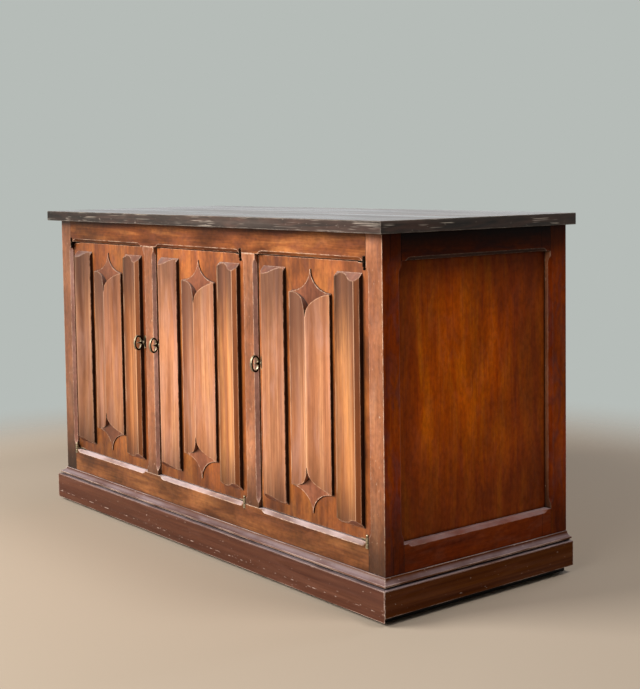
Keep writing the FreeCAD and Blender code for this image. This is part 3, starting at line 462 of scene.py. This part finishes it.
# Finishes of the boards, by the axis that the grain runs along; those of the folds, by the fold.
WALNUT = {
    "frame": {
        "Z": old_walnut(
            "walnut_frame",
            "Z",
            FRAME_TONES,
            reach=3.6,
            joined=True,
            dust=0.5,
            nicks=0.35,
            darker_left=(0.45, -0.3),
            foot=0.84,
        )
    },
    # The frieze gets darker tones than the posts, partly painted shade under the overhang of the top.
    "frieze": {
        "X": old_walnut(
            "walnut_frieze",
            "X",
            FRIEZE_TONES,
            joined=True,
            drifts=0.45,
            mauve="#6b3d2e",
            mottle=0.5,
            darker_left=(0.35, 0.4),
            shine=0.15,
        )
    },
    # The lower rail gets darker tones, partly painted shade near the foot, and a lilac film that is partly a
    # painted sheen on its chamfer.
    "lower": {
        "X": old_walnut(
            "walnut_lower_rail",
            "X",
            LOWER_TONES,
            joined=True,
            drifts=0.3,
            mauve="#7a4a30",
            mottle=0.42,
            dust=0.95,
            film="#c2b1b4",
        )
    },
    # The ends of the case get darker, redder tones than the front, partly painted shade, as the posts' sides
    # do.
    "side": {
        axis: old_walnut(
            f"walnut_side_{axis}",
            axis,
            SIDE_TONES,
            wear=0.3,
            joined=True,
            drifts=0.5,
            mauve=mauve,
            dust=0.6,
            hood=hood,
            foot=0.6,
            shine=0.05,
        )
        for axis, mauve, hood in (("Y", "#4c292c", 0.96), ("Z", "#5e3638", 0.72))
    },
    "shaded": {
        "Y": old_walnut(
            "walnut_side_shaded",
            "Y",
            SHADED_TONES,
            wear=0.3,
            joined=True,
            drifts=0.1,
            dust=0.6,
            shine=0.05,
        )
    },
    "plinth": {
        axis: old_walnut(
            f"walnut_plinth_{axis}",
            axis,
            tones,
            worn="#d9c2b6",
            nicks=0.4,
            drifts=0.12,
            mottle=0.14,
            fleck=0.08,
            stretch=5,
            scuff=scuff,
            dust=0.6,
            film="#93858b",
            roughness=(0.3, 0.5),
            shine=shine,
        )
        for axis, tones, scuff, shine in (
            ("X", PLINTH_TONES, SCUFF_HEIGHT, 0.3),
            ("Y", SIDE_PLINTH_TONES, 0, 0.05),
        )
    },
    "ground": {
        "Z": old_walnut(
            "walnut_door_ground",
            "Z",
            GROUND_TONES,
            grime="#140602",
            drifts=0.45,
            mauve="#6e4032",
            mottle=0.38,
            corner=8,
            darker_left=(0.3, 0.0),
            foot=0.55,
            spread=(2, 0, 2),
            smoke=0.15,
        )
    },
    "fold": {
        name: old_walnut(
            f"walnut_{name}_fold",
            "Z",
            tones,
            worn="#f2c6a3",
            wear=0.55,
            drifts=0.45,
            mauve=mauve,
            mottle=0.22,
            fleck=0.1,
            stretch=3,
            reach=3.4,
            darker_left=(0.5, -0.2),
            foot=0.55,
            glaze="#5f3b2b",
            crest=crest,
            spread=(0, 0, 2),
            paler_middle=0.18,
            smoke=smoke,
        )
        # Painted sheen: the left folds get paler tones and pink drifts, and the right folds more orange tones
        # and more smoke, as folds that catch less of it.
        for name, tones, mauve, smoke, crest in (
            ("left", LEFT_FOLD_TONES, "#b48878", 0.7, LEFT_CREST),
            ("centre", FOLD_TONES, "#a87c6c", 0.3, CENTRE_CREST),
            ("right", RIGHT_FOLD_TONES, "#9c6c52", 0.9, RIGHT_CREST),
        )
    },
    "star": {
        "Z": old_walnut(
            "walnut_door_star",
            "Z",
            STAR_TONES,
            drifts=0.15,
            dust=0.6,
            film="#857a79",
            darker_left=(0.4, 0.3),
        )
    },
    # The panel is painted paler in its middle, as a pool of light, and darker with a purple glaze toward its
    # ends, partly painted shade.
    "panel": {
        "Z": old_walnut(
            "walnut_panel",
            "Z",
            PANEL_TONES,
            wear=0.3,
            drifts=0.08,
            spread=(0, 2, 2),
            centre=(0.5, 0.42, 0.58),
            paler_middle=0.35,
            smoke=0.3,
            glaze="#4d2624",
            roughness=(0.26, 0.4),
            shine=0.05,
        )
    },
    "top": {
        "X": old_walnut(
            "walnut_top",
            "X",
            TOP_TONES,
            worn="#c4b5a6",
            wear=0.55,
            nicks=0.15,
            mottle=0.18,
            stretch=3,
            drifts=0.15,
            dust=0.05,
            film="#9a8a7a",
            roughness=(0.2, 0.34),
            darker_left=(0.35, 0.1),
            shine=0.2,
        )
    },
    "top_edge": {
        axis: old_walnut(
            f"walnut_top_edge_{axis}",
            axis,
            TOP_EDGE_TONES,
            worn="#c4b9ad",
            wear=0.55,
            nicks=0.3,
            scratches=scratches,
            mottle=0.18,
            stretch=3,
            drifts=0.15,
            darker_left=(0.3, 0.1),
            shine=0.2,
        )
        for axis, scratches in (("X", 0.45), ("Y", 0.9))
    },
    # The runners are painted near-black, as the shade in the recess under the plinth.
    "runner": {
        "Y": old_walnut(
            "stained_runner",
            "Y",
            RUNNER_TONES,
            wear=0.1,
            drifts=0.0,
            roughness=(0.6, 0.8),
        )
    },
    "inside": {
        axis: old_walnut(
            f"bare_inside_{axis}",
            axis,
            BARE_TONES,
            wear=0.2,
            drifts=0.12,
            mottle=0.14,
            roughness=(0.55, 0.7),
        )
        for axis in "XYZ"
    },
}
DOOR_BACK = old_walnut("walnut_door_back", "Z", FRAME_TONES, drifts=0.2, mottle=0.16, roughness=(0.4, 0.55))
# Near-black walnut: painted shade on the folds' upright walls and under the side rail.
FOLD_GLAZE = old_walnut("walnut_fold_glaze", "Z", GLAZE_TONES, drifts=0.0)
# Darker walnut: painted shade on the slope outside a right fold's ridge.
FOLD_HALF_GLAZE = old_walnut(
    "walnut_fold_half_glaze",
    "Z",
    HALF_GLAZE_TONES,
    worn="#eebd98",
    wear=0.6,
    drifts=0.1,
    stretch=5,
    reach=3.4,
    darker_left=(0.55, 0.3),
    foot=0.4,
)
# Mauve-grey walnut: a painted sheen on the chamfers beside the doors.
CHAMFER_BLOOM = old_walnut("walnut_chamfer_bloom", "Z", CHAMFER_TONES)
KEY_BRASS = aged_brass("key_brass", "#d9caaa", "#554737", 0.9)
# Dark brass, for the latch cams and upper pivots, and as painted shade on the flat sides of the keys' bows.
KEY_TARNISH = aged_brass("key_tarnish", "#4a3b2a", "#150e0a", 0.25)
PLATE_BRASS = aged_brass("escutcheon_brass", "#8f7d60", "#241a13", 0.45)

# Finish and grain of each board and the width of its eased arrises in mm, by the start of its node's name.
BOARDS = {
    "top_slab": ("top", "X", 0.0),
    "front_post": ("frame", "Z", 1.2),
    "back_post": ("frame", "Z", 1.2),
    "mullion": ("frame", "Z", 1.0),
    "front_top_rail": ("frieze", "X", 0.8),
    "front_bottom_rail": ("lower", "X", 0.8),
    "side_top_rail": ("side", "Y", 0.8),
    "side_bottom_rail": ("shaded", "Y", 0.8),
    "side_panel": ("panel", "Z", 0.5),
    "back_panel": ("inside", "Z", 0.6),
    "back_top_rail": ("inside", "X", 0.8),
    "bottom_board": ("inside", "X", 0.8),
    "partition": ("inside", "Z", 0.8),
    "shelf_cleats": ("inside", "Y", 0.8),
    "shelf": ("inside", "X", 0.8),
    "plinth_front": ("plinth", "X", 1.2),
    "plinth": ("plinth", "Y", 1.2),
    "base_cap_front": ("plinth", "X", 0.6),
    "base_cap": ("plinth", "Y", 0.6),
    "base_runner": ("runner", "Y", 1.0),
}
DOOR_ARRIS = 0.8
STAR_ARRIS = 0.5
FITTING_ARRIS = 0.25

# Share of a face's normal along an axis from which the face counts as one of these. A chamfer's share ends
# at CHAMFER_MOST, where it becomes a side.
BACK = 0.9
WALL = 0.95
SLOPE = 0.45
FOLD_END = 0.3
SLAB_EDGE = 0.5
POST_SIDE = 0.4
CHAMFER = 0.4
CHAMFER_MOST = 0.9
UNDERSIDE = 0.4
BOW_SIDE = 0.8

WELD = 0.002 * MM  # corners of a solid's mesh that are nearer than this become one
FLAT = math.radians(0.6)  # faces that turn less than this become one
SHARP = math.radians(18)  # edges that turn more than this are eased
RING_CORNERS = 48


def new_piece(name, mesh, material, body):
    piece = bpy.data.objects.new(name, mesh)
    bpy.context.scene.collection.objects.link(piece)
    mesh.materials.append(material)
    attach(piece, body)
    return piece


def eased(node, material, arris):
    """Copy of a CAD solid with its arrises eased, which stands in the solid's place."""
    form = bmesh.new()
    form.from_mesh(frame["nodes"][node].data)
    bmesh.ops.remove_doubles(form, verts=form.verts, dist=WELD)
    bmesh.ops.dissolve_limit(form, angle_limit=FLAT, verts=form.verts, edges=form.edges)
    for face in form.faces:
        face.smooth = True
    mesh = bpy.data.meshes.new(f"{node}_eased")
    form.to_mesh(mesh)
    form.free()
    piece = new_piece(f"{node}_eased", mesh, material, BODY_OF[node])
    if arris:
        bevel = piece.modifiers.new("arris", "BEVEL")
        bevel.width = arris * MM
        bevel.segments = 2
        bevel.limit_method = "ANGLE"
        bevel.angle_limit = SHARP
    flats = piece.modifiers.new("flats", "WEIGHTED_NORMAL")
    flats.keep_sharp = True
    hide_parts(node)
    return piece


def refinish(piece, material, chosen):
    """Give another finish to the faces of a piece that are chosen by the way they face or their place."""
    piece.data.materials.append(material)
    for face in piece.data.polygons:
        if chosen(face.normal, face.center):
            face.material_index = len(piece.data.materials) - 1


def oval_ring(middle, y, across, upright):
    """Corners of an upright oval that faces the front, with half its width and height in mm."""
    turns = [2 * math.pi * step / RING_CORNERS for step in range(RING_CORNERS)]
    return [
        Vector((middle.x + across * MM * math.cos(turn), y, middle.z + upright * MM * math.sin(turn)))
        for turn in turns
    ]


def loft(name, rings, hollow):
    """Skin over a row of rings; its two ends are closed, or joined to each other when it is hollow."""
    form = bmesh.new()
    rows = [[form.verts.new(corner) for corner in ring] for ring in rings]
    pairs = list(zip(rows, rows[1:]))
    if hollow:
        pairs.append((rows[-1], rows[0]))
    else:
        form.faces.new(rows[0])
        form.faces.new(rows[-1])
    for one, two in pairs:
        for index in range(RING_CORNERS):
            form.faces.new((one[index - 1], one[index], two[index], two[index - 1]))
    bmesh.ops.recalc_face_normals(form, faces=form.faces)
    for face in form.faces:
        face.smooth = True
    mesh = bpy.data.meshes.new(name)
    form.to_mesh(mesh)
    form.free()
    return mesh


# Escutcheon, in mm: set-in from the plate's edge and height over the door's face, from the back edge over
# the rim to the groove inside it.
PLATE_RIM = [(0, 0), (0, 0.8), (0.3, 1.35), (0.8, 1.6), (1.3, 1.35), (1.6, 1.0), (2.4, 1.2)]
# Half the width and height of each ring and its height over the door's face, from the dome into the bore.
PLATE_BORE = [(4.0, 8.0, 1.75), (3.4, 3.6, 2.0), (3.05, 3.05, 1.7), (3.05, 3.05, 0)]


def make_escutcheon(node):
    """Cast oval plate with a rolled rim and a low dome, round the key's stem."""
    low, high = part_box(node)
    middle = (low + high) / 2
    across, upright = (high.x - low.x) / 2 / MM, (high.z - low.z) / 2 / MM
    rings = [
        oval_ring(middle, high.y - lift * MM, across - inset, upright - inset)
        for inset, lift in PLATE_RIM
    ]
    rings += [oval_ring(middle, high.y - lift * MM, wide, tall) for wide, tall, lift in PLATE_BORE]
    piece = new_piece(f"{node}_cast", loft(node, rings, True), PLATE_BRASS, BODY_OF[node])
    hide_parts(node)


# Key, in mm. The bow: half its width, its bar, its thickness and the rounding of its edges.
BOW_WIDE, BOW_BAR, BOW_THICK, BOW_SOFT = 12.0, 4.5, 7.0, 1.1
BOW_STEPS, EYE_STEPS, POINT_STEPS = 72, 60, 6
# The point in the bow's eye: how far its tip and root are from the eye's middle, and half its height there.
TIP_AT, TIP_TALL = -1.5, 1.2
ROOT_AT, ROOT_TALL = 7.2, 3.6
# The turned stem: its radius, and how far that is from the bow's outer edge.
STEM_BEADS = [
    (2.0, 20.5),
    (3.0, 21.5),
    (3.3, 24.1),
    (4.5, 24.4),
    (5.0, 25.0),
    (4.5, 25.6),
    (3.5, 25.9),
    (3.5, 26.3),
    (4.5, 26.6),
    (5.0, 27.2),
    (4.6, 27.9),
    (3.0, 28.4),
]
STEM_RADIUS, SPINDLE_RADIUS, SPINDLE_LENGTH = 3.0, 1.9, 3.0


def bow_outlines(tall):
    """Corners round the outside of a key's bow and round its eye, with half the bow's height in mm."""
    turns = [2 * math.pi * step / BOW_STEPS for step in range(BOW_STEPS)]
    outside = [(BOW_WIDE * math.cos(turn), tall * math.sin(turn)) for turn in turns]
    eye_wide, eye_tall = BOW_WIDE - BOW_BAR, tall - BOW_BAR
    shares = [step / POINT_STEPS for step in range(POINT_STEPS)]
    point = [
        (TIP_AT + (ROOT_AT - TIP_AT) * share, TIP_TALL + (ROOT_TALL - TIP_TALL) * share**2)
        for share in shares
    ]
    flare = math.asin(ROOT_TALL / eye_tall)
    sweep = [flare + (2 * math.pi - 2 * flare) * step / EYE_STEPS for step in range(EYE_STEPS + 1)]
    eye = point + [(eye_wide * math.cos(turn), eye_tall * math.sin(turn)) for turn in sweep]
    eye += [(along, -up) for along, up in reversed(point)]
    return outside, eye


def make_key(node):
    """Cast key: an oval bow with rounded edges, an eye with a point in it, and a turned stem."""
    low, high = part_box(node)
    middle = (low + high) / 2
    curve = bpy.data.curves.new(f"{node}_bow", "CURVE")
    curve.dimensions = "2D"
    curve.fill_mode = "BOTH"
    curve.extrude = (BOW_THICK / 2 - BOW_SOFT) * MM
    curve.bevel_depth = BOW_SOFT * MM
    curve.bevel_resolution = 3
    curve.offset = -BOW_SOFT * MM
    for corners in bow_outlines((high.z - low.z) / 2 / MM):
        spline = curve.splines.new("POLY")
        spline.points.add(len(corners) - 1)
        for spot, (along, up) in zip(spline.points, corners):
            spot.co = (along * MM, up * MM, 0, 1)
        spline.use_cyclic_u = True
    pattern = bpy.data.objects.new(f"{node}_pattern", curve)
    mesh = bpy.data.meshes.new_from_object(pattern)
    bpy.data.objects.remove(pattern)
    # The pattern lies in its own X and Y: these become the case's Y and Z.
    upright = Matrix(((0, 0, 1), (1, 0, 0), (0, 1, 0))).to_4x4()
    mesh.transform(Matrix.Translation((middle.x, low.y + BOW_WIDE * MM, middle.z)) @ upright)
    mesh.shade_smooth()
    bow = new_piece(f"{node}_bow", mesh, KEY_BRASS, BODY_OF[node])

    rings = [oval_ring(middle, low.y + along * MM, radius, radius) for radius, along in STEM_BEADS]
    neck = high.y - SPINDLE_LENGTH * MM
    for y, radius in ((neck, STEM_RADIUS), (neck, SPINDLE_RADIUS), (high.y, SPINDLE_RADIUS)):
        rings.append(oval_ring(middle, y, radius, radius))
    new_piece(f"{node}_stem", loft(f"{node}_stem", rings, False), KEY_BRASS, BODY_OF[node])
    # The bow's flat sides are painted dark brass as shade, and its rim stays bright.
    refinish(bow, KEY_TARNISH, lambda normal, _: abs(normal.x) > BOW_SIDE)
    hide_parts(node)


def make_pivots(node):
    """Pivots of the frame or of a door. The lower ones are bright brass and the upper ones dark brass."""
    low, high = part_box("door_left_slab")
    door_middle = (low.z + high.z) / 2
    pivots = eased(node, KEY_BRASS, FITTING_ARRIS)
    refinish(pivots, KEY_TARNISH, lambda _, spot: spot.z > door_middle)


def make_door(node):
    """Door slab, whose back was never stained as dark as its front."""
    door = eased(node, WALNUT["ground"]["Z"], DOOR_ARRIS)
    refinish(door, DOOR_BACK, lambda normal, _: normal.y > BACK)


def make_fold(node):
    """Fold of a door. Its upright walls are painted near-black as shade, and its carved ends match the stars.
    """
    fold = eased(node, WALNUT["fold"][node.split("_")[-1]], DOOR_ARRIS)
    refinish(fold, FOLD_GLAZE, lambda normal, _: abs(normal.x) > WALL)
    if node.endswith("right"):
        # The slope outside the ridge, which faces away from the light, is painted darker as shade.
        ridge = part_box(node)[1].x - (RIDGE_INSET + 0.5) * MM
        refinish(fold, FOLD_HALF_GLAZE, lambda normal, spot: SLOPE < normal.x < WALL and spot.x > ridge)
    refinish(fold, WALNUT["star"]["Z"], lambda normal, _: abs(normal.z) > FOLD_END)


def make_board(node):
    """Board of the case, with other finishes on some faces, which aged in their own way or carry painted
    shade and sheen.
    """
    finish, axis, arris = next(board for start, board in BOARDS.items() if node.startswith(start))
    board = eased(node, WALNUT[finish][axis], arris)
    if node == "top_slab":
        refinish(board, WALNUT["top_edge"]["X"], lambda normal, _: abs(normal.y) > SLAB_EDGE)
        refinish(board, WALNUT["top_edge"]["Y"], lambda normal, _: abs(normal.x) > SLAB_EDGE)
    if "post" in node:
        # The posts' sides get the darker, redder side finish, partly painted shade.
        refinish(board, WALNUT["side"]["Z"], lambda normal, _: abs(normal.x) > POST_SIDE)
    if node.startswith(("front_post", "mullion")):
        # A greyish painted sheen, standing for the sky's reflection, on the chamfers beside the doors.
        refinish(
            board,
            CHAMFER_BLOOM,
            lambda normal, _: CHAMFER < abs(normal.x) < CHAMFER_MOST and normal.y < -CHAMFER,
        )
    if node.startswith("side_top_rail"):
        # The same near-black finish under the rail where it overhangs the panel, as painted shade.
        refinish(board, FOLD_GLAZE, lambda normal, _: normal.z < -UNDERSIDE)


for node in frame["nodes"]:
    if node.startswith("latch_cam"):
        eased(node, KEY_TARNISH, FITTING_ARRIS)
    elif "pivot" in node:
        make_pivots(node)
    elif node.endswith("escutcheon"):
        make_escutcheon(node)
    elif node.startswith("key"):
        make_key(node)
    elif node.startswith("door") and node.endswith("slab"):
        make_door(node)
    elif node.endswith("stars"):
        eased(node, WALNUT["star"]["Z"], STAR_ARRIS)
    elif "fold" in node:
        make_fold(node)
    else:
        make_board(node)


# Floor, in metres: its radius, and where it starts to fade and is gone.
FLOOR_RADIUS = 6.0
FADE_START, FADE_END = 1.3, 2.2
# Soft boxes: place and aim in metres, width and height, watts and colour.
SOFTBOXES = {
    "key_softbox": ((-1.6, -3.5, 2.7), (0, -0.2, 0.4), (2.4, 2.0), 325, "#fff8f0"),
    "front_softbox": ((1.2, -3.7, 1.8), (0, -0.2, 0.4), (2.6, 2.0), 75, "#fff8f0"),
    "right_softbox": ((2.3, 0.8, 4.4), (0.7, 0, 0.4), (1.2, 1.2), 92, "#fff6ee"),
    "rear_softbox": ((0.2, 3.9, 2.4), (0, 0.28, 0.4), (2.4, 2.0), 70, "#f4f6ff"),
    "left_softbox": ((-4.0, 3.1, 1.7), (0, 0.1, 0.6), (4.4, 2.4), 19, "#f4f6ff"),
}
ROOM_LIGHT = 0.1  # strength at which the room lights the credenza


def make_floor():
    """Pale studio floor, which fades out well beyond the credenza's shadow."""
    mesh = bpy.data.meshes.new("studio_floor")
    form = bmesh.new()
    bmesh.ops.create_circle(form, cap_ends=True, segments=96, radius=FLOOR_RADIUS)
    form.to_mesh(mesh)
    form.free()
    floor = bpy.data.objects.new("studio_floor", mesh)
    bpy.context.scene.collection.objects.link(floor)
    material, tree = new_material("studio_floor")
    place = add(tree, "TexCoord").node.outputs["Object"]
    away = add(tree, "VectorMath", LENGTH, {0: place}).node.outputs["Value"]
    faded = add(tree, "MapRange", SMOOTH, {"Value": away, 1: FADE_START, 2: FADE_END, 3: 0.0, 4: 1.0})
    solid = add(tree, "BsdfDiffuse", None, {"Color": "#a4998b"})
    clear = add(tree, "BsdfTransparent")
    finish_material(tree, add(tree, "MixShader", None, {0: faded, 1: solid, 2: clear}))
    mesh.materials.append(material)


def make_light(name, place, aim, size, watts, colour):
    lamp = bpy.data.lights.new(name, "AREA")
    lamp.shape = "RECTANGLE"
    lamp.size, lamp.size_y = size
    lamp.energy = watts
    lamp.color = linear(colour)[:3]
    light = bpy.data.objects.new(name, lamp)
    bpy.context.scene.collection.objects.link(light)
    light.location = place
    light.rotation_euler = (Vector(aim) - Vector(place)).to_track_quat("-Z", "Y").to_euler()


def make_studio():
    """Soft boxes at the front, high on the right, behind and on the left, in an even pale room."""
    for name, softbox in SOFTBOXES.items():
        make_light(name, *softbox)
    world = bpy.data.worlds.new("studio")
    world.use_nodes = True
    tree = world.node_tree
    # The room is seen, and reflected, at its own colour, and lights the credenza much less.
    rays = add(tree, "LightPath").node.outputs
    mirrored = add(tree, "Math", MOST, {0: rays["Is Camera Ray"], 1: rays["Is Glossy Ray"]})
    seen = add(tree, "Math", MOST, {0: mirrored, 1: rays["Is Transmission Ray"]})
    strength = add(tree, "MapRange", None, {"Value": seen, 3: ROOM_LIGHT, 4: 1.0})
    room = tree.nodes["Background"]
    room.inputs["Color"].default_value = linear("#b6bcb8")
    tree.links.new(strength, room.inputs["Strength"])
    bpy.context.scene.world = world
    bpy.context.scene.view_settings.view_transform = "Standard"


# Camera, solved from the straight edges of the case in the 640 x 689 photograph. Angles are in radians.
IMAGE_HEIGHT = 689
AXIS_HEIGHT = 262.0  # row of the picture that the lens points at
FOCAL_PIXELS = 1318.7
SENSOR_MM = 36.0
CAMERA_PLACE = (2.6505, -1.9646, 0.9065)
YAW, PITCH, ROLL = -0.904, -0.0669, -0.0137


def make_camera():
    ahead = Vector((math.sin(YAW) * math.cos(PITCH), math.cos(YAW) * math.cos(PITCH), math.sin(PITCH)))
    level = Vector((math.cos(YAW), -math.sin(YAW), 0))
    right = Matrix.Rotation(-ROLL, 3, ahead) @ level
    up = right.cross(ahead)
    data = bpy.data.cameras.new("camera")
    data.sensor_width = SENSOR_MM
    data.lens = FOCAL_PIXELS / IMAGE_HEIGHT * SENSOR_MM
    data.shift_y = (AXIS_HEIGHT - IMAGE_HEIGHT / 2) / IMAGE_HEIGHT
    camera = bpy.data.objects.new("camera", data)
    bpy.context.scene.collection.objects.link(camera)
    camera.matrix_world = Matrix.Translation(CAMERA_PLACE) @ Matrix((right, up, -ahead)).transposed().to_4x4()
    bpy.context.scene.camera = camera


make_floor()
make_studio()
make_camera()
